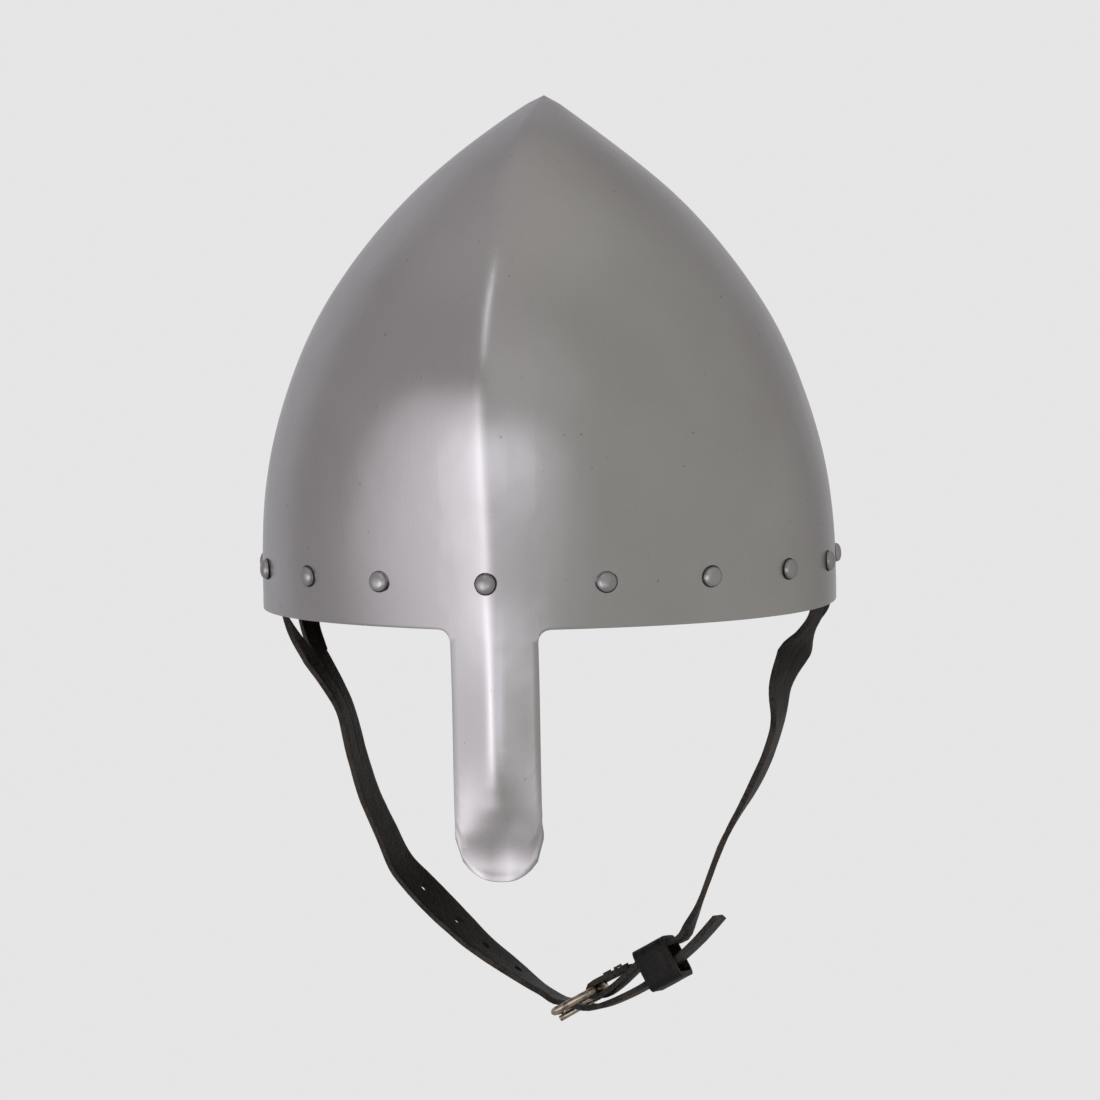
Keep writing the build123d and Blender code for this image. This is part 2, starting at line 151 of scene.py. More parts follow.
# polished steel, with oxide specks
steelLook = {
    "colour": (0.50, 0.49, 0.495, 1),
    "dull": (0.44, 0.43, 0.43, 1),
    "speck": (0.20, 0.185, 0.175, 1),
    "edgeTint": (0.60, 0.59, 0.61, 1),
    "roughness": 0.27,
    "roughnessSpread": 0.10,
    "brushScale": 260,
    "fineBrush": 6,  # times finer than the coarse brush lines
    "fineShare": 0.6,
    "brushStrength": 0.35,
    "brushDepth": 0.000002,
    "patchScale": 22,
    "patchSpan": (0.35, 0.75),
    "patchShare": 0.55,
    "speckScale": 430,
    "speckSpan": (0.755, 0.79),
    "speckShare": 0.6,
}
brushAlong = (1, 1, 0.03)  # brush lines run up and down
noBrush = (1, 1, 1)


def steelMaterial(name, look, brush):
    material, shader = newMaterial(name)
    lines = shader.noise(look["brushScale"] * look["fineBrush"], 2, brush)
    coarse = shader.noise(look["brushScale"], 3, brush)
    patches = shader.noise(look["patchScale"], 4)
    specks = shader.step(shader.noise(look["speckScale"], 2, rough=0.4), *look["speckSpan"])
    worn = shader.step(patches, *look["patchSpan"], 0.0, look["patchShare"])
    colour = shader.mix(worn, look["colour"], look["dull"])
    colour = shader.mix(specks * look["speckShare"], colour, look["speck"])
    spread = look["roughnessSpread"]
    roughness = look["roughness"] + (patches - 0.5) * spread + (coarse - 0.5) * spread
    height = lines * look["fineShare"] + coarse
    normal = shader.bump(height, look["brushStrength"], look["brushDepth"])
    sockets = {
        "Base Color": colour,
        "Metallic": 1.0,
        "Roughness": roughness,
        "Specular Tint": look["edgeTint"],
        "Normal": normal,
    }
    shader.surface(sockets)
    return material


leatherLook = {
    "strap": (0.006, 0.0055, 0.005, 1),
    "strapWorn": (0.022, 0.018, 0.016, 1),
    "strapEdge": (0.050, 0.037, 0.029, 1),
    "liner": (0.215, 0.118, 0.062, 1),
    "linerDark": (0.105, 0.055, 0.030, 1),
    "lace": (0.16, 0.09, 0.05, 1),
    "laceDark": (0.09, 0.05, 0.03, 1),
    "wrinkles": 0.30,  # scale of the wrinkles as a share of the grain's
    "patchScale": 45,
    "wornSpan": (0.42, 0.68),
    "poreHeight": 0.6,
    "wrinkleHeight": 1.1,
    "strength": 0.55,
    "roughnessSpread": 0.22,
    "shine": 0.3,
}


def leatherMaterial(name, colour, worn, roughness, grain, depth):
    look = leatherLook
    material, shader = newMaterial(name)
    pores = shader.cells(grain)
    wrinkles = shader.noise(grain * look["wrinkles"], 5, distortion=0.6)
    patches = shader.noise(look["patchScale"], 4)
    wear = shader.step(patches * 0.6 + wrinkles * 0.4, *look["wornSpan"])
    height = pores * look["poreHeight"] + wrinkles * look["wrinkleHeight"]
    sockets = {
        "Base Color": shader.mix(wear, colour, worn),
        "Roughness": roughness + (wrinkles - 0.5) * look["roughnessSpread"],
        "Normal": shader.bump(height, look["strength"], depth),
        "Specular IOR Level": look["shine"],
    }
    shader.surface(sockets)
    return material


edgeLook = {
    "fibreScale": 900,
    "patchScale": 120,
    "darkSpan": (0.38, 0.62),
    "strength": 0.8,
    "depth": 0.0002,
    "roughness": 0.78,
}


def cutEdgeMaterial(name, colour, dark):
    # the fibres of a cut leather edge, in thin layers
    look = edgeLook
    material, shader = newMaterial(name)
    fibres = shader.noise(look["fibreScale"], 4, distortion=0.3)
    patches = shader.noise(look["patchScale"], 3)
    shade = shader.mix(shader.step(fibres * 0.5 + patches * 0.5, *look["darkSpan"]), dark, colour)
    normal = shader.bump(fibres, look["strength"], look["depth"])
    shader.surface({"Base Color": shade, "Roughness": look["roughness"], "Normal": normal})
    return material


brassLook = {
    "colour": (0.47, 0.405, 0.32, 1),
    "tarnish": (0.15, 0.12, 0.095, 1),
    "tarnishScale": 260,
    "tarnishSpan": (0.40, 0.66),
    "scratchScale": 1500,
    "scratchAlong": (1, 0.08, 1),
    "strength": 0.35,
    "depth": 0.00006,
    "roughness": 0.30,
    "roughnessSpread": 0.35,
}


def buckleMaterial(name):
    look = brassLook
    material, shader = newMaterial(name)
    tarnish = shader.noise(look["tarnishScale"], 5, rough=0.6)
    scratches = shader.noise(look["scratchScale"], 2, look["scratchAlong"])
    colour = shader.mix(shader.step(tarnish, *look["tarnishSpan"]), look["colour"], look["tarnish"])
    normal = shader.bump(tarnish * 0.5 + scratches * 0.5, look["strength"], look["depth"])
    sockets = {
        "Base Color": colour,
        "Metallic": 1.0,
        "Roughness": look["roughness"] + (tarnish - 0.5) * look["roughnessSpread"],
        "Normal": normal,
    }
    shader.surface(sockets)
    return material


threadLook = {
    "light": (0.10, 0.085, 0.07, 1),
    "dark": (0.03, 0.026, 0.022, 1),
    "twistScale": 2600,
    "darkSpan": (0.35, 0.65),
    "strength": 0.7,
    "depth": 0.0001,
    "roughness": 0.62,
}


def threadMaterial(name):
    look = threadLook
    material, shader = newMaterial(name)
    twist = shader.noise(look["twistScale"], 3, distortion=0.4)
    shade = shader.mix(shader.step(twist, *look["darkSpan"]), look["dark"], look["light"])
    normal = shader.bump(twist, look["strength"], look["depth"])
    shader.surface({"Base Color": shade, "Roughness": look["roughness"], "Normal": normal})
    return material


rivetLook = {
    **steelLook,
    "colour": (0.46, 0.45, 0.46, 1),
    "dull": (0.27, 0.26, 0.265, 1),
    "roughness": 0.34,
    "brushScale": 420,
}
# a dark steel for the rim of each rivet head: painted shade where the head meets the plate
rivetRimShadeLook = {
    **steelLook,
    "colour": (0.07, 0.065, 0.065, 1),
    "dull": (0.03, 0.03, 0.03, 1),
    "roughness": 0.60,
    "brushScale": 420,
}
skullSteel = steelMaterial("satin brushed steel", steelLook, brushAlong)
rivetSteel = steelMaterial("rivet steel", rivetLook, noBrush)
rivetRimShade = steelMaterial("painted rivet rim shade", rivetRimShadeLook, noBrush)
strapLeather = leatherMaterial(
    "black strap leather",
    leatherLook["strap"],
    leatherLook["strapWorn"],
    roughness=0.60,
    grain=900,
    depth=0.0006,
)
strapEdge = cutEdgeMaterial("strap cut edge", leatherLook["strapEdge"], leatherLook["strap"])
linerLeather = leatherMaterial(
    "brown liner leather",
    leatherLook["liner"],
    leatherLook["linerDark"],
    roughness=0.68,
    grain=900,
    depth=0.0002,
)
laceLeather = leatherMaterial(
    "lace leather",
    leatherLook["lace"],
    leatherLook["laceDark"],
    roughness=0.6,
    grain=1800,
    depth=0.00012,
)
buckleBrass = buckleMaterial("dull buckle brass")
waxedThread = threadMaterial("waxed thread")
print("materials made")


# helpers for meshes
def sheetOf(bm, rows, columns, place):
    # a grid of rows and columns, each corner put where place says
    made = bmesh.ops.create_grid(bm, x_segments=columns, y_segments=rows, size=0.5)
    for vertex in made["verts"]:
        column = round((vertex.co.x + 0.5) * columns)
        row = round((vertex.co.y + 0.5) * rows)
        vertex.co = place(row, column)


joinNear = 0.00001  # corners of one CAD mesh that belong together
joinSheets = 0.00002  # corners of two sheets that meet
joinRivets = 0.000005  # ends of a spun outline


def weld(bm, distance=joinNear):
    bmesh.ops.remove_doubles(bm, verts=bm.verts, dist=distance)


def newPiece(bm, name, materials):
    mesh = bpy.data.meshes.new(name)
    bm.to_mesh(mesh)
    bm.free()
    for material in materials:
        mesh.materials.append(material)
    mesh.shade_smooth()
    piece = bpy.data.objects.new(name, mesh)
    bpy.context.scene.collection.objects.link(piece)
    return piece


def modifier(piece, kind, settings):
    made = piece.modifiers.new(kind.lower(), kind)
    for name, value in settings.items():
        setattr(made, name, value)


def settle(piece):
    # the modifiers' result becomes the piece's own mesh
    graph = bpy.context.evaluated_depsgraph_get()
    mesh = bpy.data.meshes.new_from_object(piece.evaluated_get(graph))
    piece.modifiers.clear()
    piece.data = mesh
    mesh.shade_smooth()


def thicken(piece, thickness, offset=0.0, rim=1):
    # offset -1 keeps the outer face where it is; rim counts material slots on
    solid = {
        "thickness": thickness,
        "offset": offset,
        "use_even_offset": True,
        "material_offset_rim": rim,
    }
    modifier(piece, "SOLIDIFY", solid)


def softenEdges(piece, width, angle=50):
    soft = {
        "width": width,
        "segments": 2,
        "limit_method": "ANGLE",
        "angle_limit": math.radians(angle),
    }
    modifier(piece, "BEVEL", soft)
    settle(piece)


# skull: a grid laid on the CAD plate, then given its wall; metres throughout
skullShape = {
    "wall": 0.002,
    "edge": 0.00035,
    "nasalHalf": 0.0148,
    "nasalLength": 0.0845,
    "nasalRound": 0.0143,
    "corner": 0.004,
    "ridgeRadius": 0.0034,
    "ridgeFade": 0.03,  # the ridge sharpens over this distance below the point
    "ridgeLeast": 0.05,
    "pointClear": 0.0015,
    "blendHeight": 0.012,  # above this the rim's rounded corners are no longer felt
    "blendPower": 1.5,
    "frontShares": (0, 0.05, 0.10, 0.155, 0.22, 0.31, 0.42, 0.55, 0.70, 0.85, 1),
    "cornerTurns": (22.5, 45, 67.5, 90),
    "angleStep": math.radians(1.6),
    "backAngles": (0.022, 0.014, 0.008, 0.004, 0),
    "rimHeights": (0, 0.001, 0.0025, 0.0045, 0.007, 0.0095),
    "rowSpan": (0.0008, 0.0028),
    "rowShare": 0.09,
    "topClear": 0.004,
    "nasalRows": 34,
    "unevenness": 0.00016,
    "swellScale": 26,
    "fineSwellScale": 61,
}
skullLow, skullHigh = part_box("skull")
skullTree = BVHTree.FromObject(cadNodes["skull"], bpy.context.evaluated_depsgraph_get())
justUp = 0.0005  # a height just above the rim, where the wall goes all the way round
rivetLow, rivetHigh = 0.0130, 0.0185  # the rivet holes lie between these heights
nasalSafe = 0.0140  # half width of the nasal that a ray is sure to meet
nasalDeep = -0.069  # and its depth, above the round end
farOut = 0.3  # rays start this far out from the middle
slopeStep = 0.0008
besideRidge = 0.0004
tipClear = 0.0006


def wallHit(start, direction):
    return skullTree.ray_cast(start, direction)[0]


def overHoles(measure, height):
    # the rivet holes are passed by going straight from below them to above them
    if not rivetLow < height < rivetHigh:
        return measure(height)
    share = (height - rivetLow) / (rivetHigh - rivetLow)
    return measure(rivetLow) * (1 - share) + measure(rivetHigh) * share


def faceY(x, height, side=-1):
    def measure(z):
        return wallHit(Vector((x, side * farOut, z)), Vector((0, -side, 0))).y

    return overHoles(measure, height)


def wallRadius(angle, height):
    outward = Vector((math.sin(angle), -math.cos(angle), 0))

    def measure(z):
        return wallHit(outward * farOut + Vector((0, 0, z)), -outward).xy.length

    return overHoles(measure, height)


def nasalY(x, height):
    # front surface at and below the rim, carried on past the nasal's sides
    safeX = min(abs(x), nasalSafe)
    depth = max(height, nasalDeep)
    y = faceY(abs(x), justUp) + faceY(safeX, depth) - faceY(safeX, justUp)
    if height < nasalDeep:
        ridge = max(height, skullLow.z + tipClear)
        y += faceY(besideRidge, ridge) - faceY(besideRidge, nasalDeep)
    return y


def frontY(x, height):
    return nasalY(x, height) if height < justUp else faceY(x, height)


def softenRidge(point):
    # the crease down the front and the back is a narrow round, not a sharp line
    shape = skullShape
    sharpness = min(1, max(shape["ridgeLeast"], (skullHigh.z - point.z) / shape["ridgeFade"]))
    radius = shape["ridgeRadius"] * sharpness
    if abs(point.x) >= radius or point.z > skullHigh.z - shape["pointClear"]:
        return
    if point.y < 0:
        near = frontY(radius, point.z)
        slope = (frontY(radius + slopeStep, point.z) - near) / slopeStep
    else:
        near = faceY(radius, point.z, 1)
        slope = (faceY(radius + slopeStep, point.z, 1) - near) / slopeStep
    point.y = near - slope * (radius**2 - point.x**2) / (2 * radius)


def columnPlaces():
    # places across the right half: x at the rim for the front ones, then angles
    half = skullShape["nasalHalf"]
    corner = skullShape["corner"]
    fronts = [(share * half, -corner) for share in skullShape["frontShares"]]
    for turn in skullShape["cornerTurns"]:
        across = half + corner - corner * math.cos(math.radians(turn))
        fronts.append((across, -corner + corner * math.sin(math.radians(turn))))
    places = [(math.atan2(x, -faceY(x, justUp)), x, base) for x, base in fronts]
    angle = places[-1][0]
    count = round((math.pi - angle) / skullShape["angleStep"])
    for number in range(1, count):
        places.append((angle + (math.pi - angle) * number / count, None, 0.0))
    for near in skullShape["backAngles"]:
        places.append((math.pi - near, None, 0.0))
    return places


def rowHeights():
    heights = list(skullShape["rimHeights"])
    least, most = skullShape["rowSpan"]
    while heights[-1] < skullHigh.z - skullShape["topClear"]:
        left = skullHigh.z - heights[-1]
        heights.append(heights[-1] + max(least, min(most, left * skullShape["rowShare"])))
    return heights


def uneven(point):
    # the plate was raised and ground by hand, so it is never quite true
    outward = Vector((point.x, point.y, point.z * 0.6)).normalized()
    swell = noise.noise(point * skullShape["swellScale"])
    swell += 0.5 * noise.noise(point * skullShape["fineSwellScale"] + Vector((3, 1, 7)))
    return point + outward * swell * skullShape["unevenness"]


def buildSkull():
    places = columnPlaces()
    heights = rowHeights()
    across = len(places) - 1
    halfNasal = skullShape["nasalHalf"]
    seen = {}

    def mainPlace(row, column):
        side = 1 if column >= across else -1
        angle, x, base = places[abs(column - across)]
        height = heights[row]
        nearRim = max(0, 1 - height / skullShape["blendHeight"])
        height += base * nearRim ** skullShape["blendPower"]
        key = (angle, round(height, 7))
        if key not in seen:
            if x is not None and height < justUp:
                point = Vector((x, nasalY(x, height), height))
            else:
                radius = wallRadius(angle, height)
                point = Vector((radius * math.sin(angle), -radius * math.cos(angle), height))
            softenRidge(point)
            seen[key] = point
        point = seen[key].copy()
        point.x *= side
        return uneven(point)

    bm = bmesh.new()
    sheetOf(bm, len(heights) - 1, 2 * across, mainPlace)
    # the nasal hangs from the bottom of the front columns
    nasalColumns = [x for angle, x, base in places if x is not None and x <= halfNasal + joinNear]
    nasalAcross = len(nasalColumns) - 1
    nasalRows = skullShape["nasalRows"]
    corner = skullShape["corner"]
    roundness = skullShape["nasalRound"]

    def nasalPlace(row, column):
        side = 1 if column >= nasalAcross else -1
        x = nasalColumns[abs(column - nasalAcross)]
        reach = max(0, x - (halfNasal - roundness))
        end = skullShape["nasalLength"] - roundness + math.sqrt(max(0, roundness**2 - reach**2))
        share = 1 - row / nasalRows
        height = -corner - (end - corner) * share
        point = Vector((x, nasalY(x, height), height))
        softenRidge(point)
        point.x *= side
        return uneven(point)

    sheetOf(bm, nasalRows, 2 * nasalAcross, nasalPlace)
    # the point at the top closes the shell
    top = bmesh.ops.create_vert(bm, co=(0, 0, skullHigh.z - 0.0003))["vert"][0]
    weld(bm, joinSheets)
    nearTop = heights[-1] - 0.001
    for edge in [e for e in bm.edges if e.is_boundary and e.verts[0].co.z > nearTop]:
        bm.faces.new((edge.verts[0], edge.verts[1], top))
    bmesh.ops.recalc_face_normals(bm, faces=bm.faces)
    piece = newPiece(bm, "skull_plate", [skullSteel])
    thicken(piece, skullShape["wall"], offset=-1.0, rim=0)
    softenEdges(piece, skullShape["edge"], angle=60)
    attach(piece, "helmet")
    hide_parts("skull")
    return piece


skullPlate = buildSkull()
print("skull", len(skullPlate.data.polygons), "faces")

# rim rivets: each is turned about its own axis, which comes from the CAD rivet
rivetShape = {
    "dome": 0.0023,
    "peen": 0.0009,
    "shank": 0.0015,
    "peenRadius": 0.00225,
    "steps": 28,
    "rivetRimShade": (-0.0003, 0.0003),  # heights of the head's rim and underside, painted dark as shade where the head meets the plate
    "dent": 0.035,
    "dentScale": 300,
    # half outline of the head above its base: distance out, height
    "head": [
        (0.00372, -0.00020),
        (0.00374, 0.00012),
        (0.00338, 0.00014),
        (0.00346, 0.00050),
        (0.00337, 0.00098),
        (0.00300, 0.00150),
        (0.00235, 0.00192),
        (0.00150, 0.00220),
        (0.00070, 0.00230),
        (0, 0.00232),
    ],
}


def looseParts(node):
    # the places of the corners of each separate part, in the mesh's own order
    bm = bmesh.new()
    bm.from_mesh(cadNodes[node].data)
    weld(bm)
    parts = []
    found = set()
    for start in bm.verts:
        if start in found:
            continue
        found.add(start)
        part = [start]
        for vertex in part:
            for edge in vertex.link_edges:
                near = edge.other_vert(vertex)
                if near not in found:
                    found.add(near)
                    part.append(near)
        parts.append([vertex.co.copy() for vertex in part])
    bm.free()
    return parts


def middleOf(points):
    return sum(points, Vector()) / len(points)


def rivetAxis(points):
    # the middle of the dome's base, the way out, and the whole length
    axis = Vector((middleOf(points).x, middleOf(points).y, 0)).normalized()
    for improvement in range(3):
        heights = [point.dot(axis) for point in points]
        outer = middleOf([p for p, h in zip(points, heights) if h > max(heights) - 0.0015])
        inner = middleOf([p for p, h in zip(points, heights) if h < min(heights) + 0.0004])
        axis = (outer - inner).normalized()
    heights = [point.dot(axis) for point in points]
    base = inner + axis * (max(heights) - rivetShape["dome"] - inner.dot(axis))
    return base, axis, max(heights) - min(heights)


def rivetOutline(length):
    # from the middle of the peened end, along the shank and over the head
    shape = rivetShape
    depth = length - shape["dome"]
    tail = [
        (0, -depth),
        (shape["peenRadius"] * 0.8, shape["peen"] * 0.25 - depth),
        (shape["peenRadius"], shape["peen"] * 0.8 - depth),
        (shape["shank"], shape["peen"] - depth),
        (shape["shank"], shape["head"][0][1]),
    ]
    return tail + shape["head"]


def buildRivets():
    shape = rivetShape
    dark = shape["rivetRimShade"]
    parts = sorted(looseParts("rim_rivets"), key=lambda part: middleOf(part).to_tuple())
    bm = bmesh.new()
    for number, points in enumerate(parts):
        base, axis, length = rivetAxis(points)
        verts = [bm.verts.new((away, 0, height)) for away, height in rivetOutline(length)]
        edges = [bm.edges.new(pair) for pair in zip(verts, verts[1:])]
        bmesh.ops.spin(
            bm,
            geom=verts + edges,
            axis=(0, 0, 1),
            cent=(0, 0, 0),
            angle=2 * math.pi,
            steps=shape["steps"],
            use_merge=True,
        )
        ring = [vertex for vertex in bm.verts if not vertex.tag]
        for vertex in ring:
            vertex.tag = True
            # each head was set by hammer, so none is quite round
            spot = Vector((vertex.co.x, vertex.co.y, number * 0.01)) * shape["dentScale"]
            dent = 1 + shape["dent"] * noise.noise(spot)
            vertex.co.x *= dent
            vertex.co.y *= dent
        # faces at the head's rim and underside take the dark material, painted shade where the head
        # meets the plate
        for face in {face for vertex in ring for face in vertex.link_faces}:
            height = face.calc_center_median().z
            face.material_index = 1 if dark[0] < height < dark[1] else 0
        turn = axis.to_track_quat("Z", "Y").to_matrix()
        for vertex in ring:
            vertex.co = turn @ vertex.co + base
    weld(bm, joinRivets)
    bmesh.ops.recalc_face_normals(bm, faces=bm.faces)
    piece = newPiece(bm, "rivet_heads", [rivetSteel, rivetRimShade])
    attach(piece, "helmet")
    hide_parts("rim_rivets")
    return piece


rivetHeads = buildRivets()
print("rivets", len(rivetHeads.data.polygons), "faces")

# buckle axes, from the joints
hinge = Vector(joints["buckle_turn"]["pos_m"])
buckleAcross = -Vector(joints["buckle_turn"]["axis"])
buckleAlong = Vector(joints["keeper_slide"]["axis"])
buckleInward = buckleAlong.cross(buckleAcross).normalized()


def atBuckle(along, inward, across=0.0):
    return hinge + buckleAlong * along + buckleInward * inward + buckleAcross * across


# chin straps
strapShape = {
    "width": 0.016,
    "thickness": 0.002,
    "edge": 0.0005,
    "legWidth": 0.0078,
    "middle": -0.005,
    "step": 0.0022,
    "fineSteps": 24,  # points between two stations when lengths are measured
    "columns": 4,
    "slit": 0.00016,
    "longSlitEnd": 3.2,  # stations down to where the slit between the legs closes
    "shortSlitEnd": 0.9,
    "legBend": 0.6,
    "legLean": 0.12,
    "hole": 0.0032,
    "uneven": 0.00022,
    "unevenScale": 90,
    "fineUnevenScale": 210,
    "evenAbove": -0.004,
    "unevenFade": 0.02,
}
# places (x, z, twist) down each side, in metres and degrees
longRun = [
    (-0.0883, -0.0210, 15),
    (-0.0829, -0.0297, 9),
    (-0.0772, -0.0410, 4),
    (-0.0730, -0.0582, 6),
    (-0.0686, -0.0727, 8),
    (-0.0626, -0.0864, 10),
    (-0.0572, -0.0980, 15),
    (-0.0510, -0.1054, 20),
    (-0.0448, -0.1117, 21),
    (-0.0350, -0.1212, 17),
    (-0.0250, -0.1300, 9),
    (-0.0136, -0.1382, 1),
    (-0.0050, -0.1443, -7),
]
longInBuckle = [
    (-0.0161, 0.0040),
    (-0.0125, 0.0011),
    (-0.0095, -0.0017),
    (-0.0050, -0.0048),
    (0.0030, -0.0064),
    (0.0156, -0.0069),
    (0.0240, -0.0058),
    (0.0304, -0.0043),
    (0.0422, -0.0012),
    (0.0525, 0.0025),
]
shortRun = [
    (0.0892, -0.0190, -36),
    (0.0844, -0.0310, -20),
    (0.0830, -0.0460, -6),
    (0.0757, -0.0650, -7),
    (0.0634, -0.0874, 2),
    (0.0552, -0.1085, 2),
    (0.0512, -0.1175, -6),
]
shortInBuckle = [
    (0.0370, 0.0024),
    (0.0310, 0.0027),
    (0.0250, 0.0024),
    (0.0190, 0.0013),
    (0.0130, -0.0003),
    (0.0065, -0.0019),
    (0.0010, -0.00255),
    (-0.0018, -0.0018),
    (-0.00255, 0.0),
    (-0.0018, 0.0018),
    (0.0010, 0.00255),
    (0.0075, 0.0024),
    (0.0145, 0.0019),
]
# punched holes on the long strap: place in longRun, and how far on to the next
punched = [(7, 0.35), (8, 0.85), (9, 0.9), (10, 0.95)]
# the hole in use, and the slot for the prong in the fold, along and inward
usedHole = {"place": (-0.0073, -0.0034), "radius": 0.0018, "stretch": 0.0036}
usedHoleFrom, usedHoleTo = (-0.0125, 0.0011), (-0.0030, -0.0056)
prongSlot = {"radius": 0.0018, "stretch": 0.0030}


def runStations(run, inward, inBuckle):
    # each station is a middle point and the way across the strap, front to rear
    stations = []
    for number, (x, z, twist) in enumerate(run):
        before = run[max(number - 1, 0)]
        after = run[min(number + 1, len(run) - 1)]
        along = Vector((after[0] - before[0], 0, after[1] - before[1])).normalized()
        side = Vector((-along.z, 0, along.x)) * inward
        turn = math.radians(twist)
        across = Vector((0, math.cos(turn), 0)) + side * math.sin(turn)
        stations.append((Vector((x, strapShape["middle"], z)), across))
    for along, inside in inBuckle:
        stations.append((atBuckle(along, inside), buckleAcross.copy()))
    return stations


def between(stations, place):
    # Catmull-Rom between stations, at a place counted in stations
    number = min(int(place), len(stations) - 2)
    share = place - number
    near = [stations[min(max(number + k, 0), len(stations) - 1)] for k in (-1, 0, 1, 2)]
    weights = (
        (-(share**3) + 2 * share**2 - share) / 2,
        (3 * share**3 - 5 * share**2 + 2) / 2,
        (-3 * share**3 + 4 * share**2 + share) / 2,
        (share**3 - share**2) / 2,
    )
    point = sum((w * s[0] for w, s in zip(weights, near)), Vector())
    across = sum((w * s[1] for w, s in zip(weights, near)), Vector())
    return point, across.normalized()


def evenPlaces(stations, step):
    # places one step apart along the line through the stations
    fineSteps = strapShape["fineSteps"]
    fine = [k / fineSteps for k in range(fineSteps * (len(stations) - 1) + 1)]
    points = [between(stations, place)[0] for place in fine]
    lengths = [0.0]
    for first, second in zip(points, points[1:]):
        lengths.append(lengths[-1] + (second - first).length)
    count = max(1, round(lengths[-1] / step))
    places = []
    index = 0
    for number in range(count + 1):
        target = lengths[-1] * number / count
        while index < len(fine) - 2 and lengths[index + 1] < target:
            index += 1
        span = lengths[index + 1] - lengths[index]
        share = 0 if span == 0 else (target - lengths[index]) / span
        places.append(fine[index] + (fine[index + 1] - fine[index]) * min(share, 1))
    return places


def legTopAndFoot(node):
    # middle of the round upper end and of the lower end of a strap leg
    low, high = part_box(node)
    half = strapShape["legWidth"] / 2
    outer = 1 if low.x > 0 else -1
    wide = max(abs(low.x), abs(high.x)) - strapShape["thickness"] / 2
    narrow = min(abs(low.x), abs(high.x)) + strapShape["thickness"] / 2
    front = node.endswith("front")
    topY = low.y + half if front else high.y - half
    footY = high.y - half if front else low.y + half
    top = Vector((outer * narrow, topY, high.z - half))
    foot = Vector((outer * wide, footY, low.z))
    return top, foot


def legStations(node, first, rear):
    top, foot = legTopAndFoot(node)
    level = Vector((foot.x - top.x, foot.y - top.y, 0)).normalized()
    if level.y < 0:
        level = -level
    half = strapShape["width"] / 4
    start = first[0] + first[1] * half * (1 if rear else -1)
    tip = top + (top - foot).normalized() * strapShape["legWidth"] / 2
    lean = start.lerp(foot, 0.5) + Vector((strapShape["legLean"] * (foot.x - start.x), 0, 0))
    turned = (level + first[1]).normalized()
    return [
        (tip, level),
        (top, level),
        (top.lerp(foot, strapShape["legBend"]), level),
        (foot, level),
        (lean, turned),
    ]


def addHalfStrap(bm, stations, legNode, rear, slitEnd):
    # one half of the strap's width, from its own leg down to the end
    sign = 1 if rear else -1
    quarter = strapShape["width"] / 4
    legs = legStations(legNode, stations[0], rear)
    legCount = len(legs)
    shared = [(point + across * quarter * sign, across) for point, across in stations]
    line = legs + shared
    places = evenPlaces(legs + shared[:1], strapShape["step"])[:-1]
    places += [legCount + place for place in evenPlaces(stations, strapShape["step"])]
    tip, top = legs[0][0], legs[1][0]
    roundEnd = (top - tip).length
    columns = strapShape["columns"]

    def place(row, column):
        spot = places[row]
        share = column / columns
        if spot >= legCount:
            middle, across = between(stations, spot - legCount)
            gap = strapShape["slit"] * max(0, 1 - (spot - legCount) / slitEnd) ** 0.5
            near, far = gap * sign, 2 * quarter * sign
            offset = near + (far - near) * (share if rear else 1 - share)
            point = middle + across * offset
        else:
            middle, across = between(line, spot)
            ahead = between(line, spot + 0.02)[0] - middle
            across = (across - ahead * across.dot(ahead) / ahead.length_squared).normalized()
            half = strapShape["legWidth"] / 2
            reach = roundEnd - (middle - tip).length
            if reach > 0:
                half = math.sqrt(max(half**2 - reach**2, (half * 0.25) ** 2))
            point = middle + across * half * (2 * share - 1)
        wave = noise.noise(point * strapShape["unevenScale"])
        wave += 0.5 * noise.noise(point * strapShape["fineUnevenScale"])
        below = strapShape["evenAbove"] - point.z
        fade = min(1, max(0, below / strapShape["unevenFade"]))
        return point + Vector((wave, 0, wave * 0.3)) * strapShape["uneven"] * fade

    sheetOf(bm, len(places) - 1, columns, place)


def cutter(shapes):
    # one mesh of all the punches that go through a strap
    bm = bmesh.new()
    for centre, normal, radius, stretch, along in shapes:
        made = bmesh.ops.create_cone(
            bm, cap_ends=True, segments=24, radius1=radius, radius2=radius, depth=0.02
        )["verts"]
        for vertex in made:
            vertex.co.x += stretch if vertex.co.x > 0 else -stretch
        turn = normal.to_track_quat("Z", "Y").to_matrix()
        side = along - normal * along.dot(normal)
        twist = (turn.inverted() @ side).xy
        angle = math.atan2(twist.y, twist.x)
        cosine, sine = math.cos(angle), math.sin(angle)
        for vertex in made:
            x, y, z = vertex.co
            vertex.co = turn @ Vector((x * cosine - y * sine, x * sine + y * cosine, z)) + centre
    bmesh.ops.recalc_face_normals(bm, faces=bm.faces)
    mesh = bpy.data.meshes.new("punches")
    bm.to_mesh(mesh)
    bm.free()
    punches = bpy.data.objects.new("punches", mesh)
    bpy.context.scene.collection.objects.link(punches)
    return punches


def buildStrap(name, stations, side, slitEnd, holes, replaced):
    bm = bmesh.new()
    for rear in (False, True):
        leg = f"strap_leg_{side}_{'rear' if rear else 'front'}"
        addHalfStrap(bm, stations, leg, rear, slitEnd)
    weld(bm, joinSheets)
    piece = newPiece(bm, name, [strapLeather, strapEdge])
    thicken(piece, strapShape["thickness"])
    punches = cutter(holes)
    modifier(piece, "BOOLEAN", {"object": punches, "operation": "DIFFERENCE", "solver": "EXACT"})
    softenEdges(piece, strapShape["edge"])
    bpy.data.objects.remove(punches)
    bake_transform(piece)
    legs = [f"strap_leg_{side}_front", f"strap_leg_{side}_rear"]
    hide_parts(replaced, *legs)
    return piece


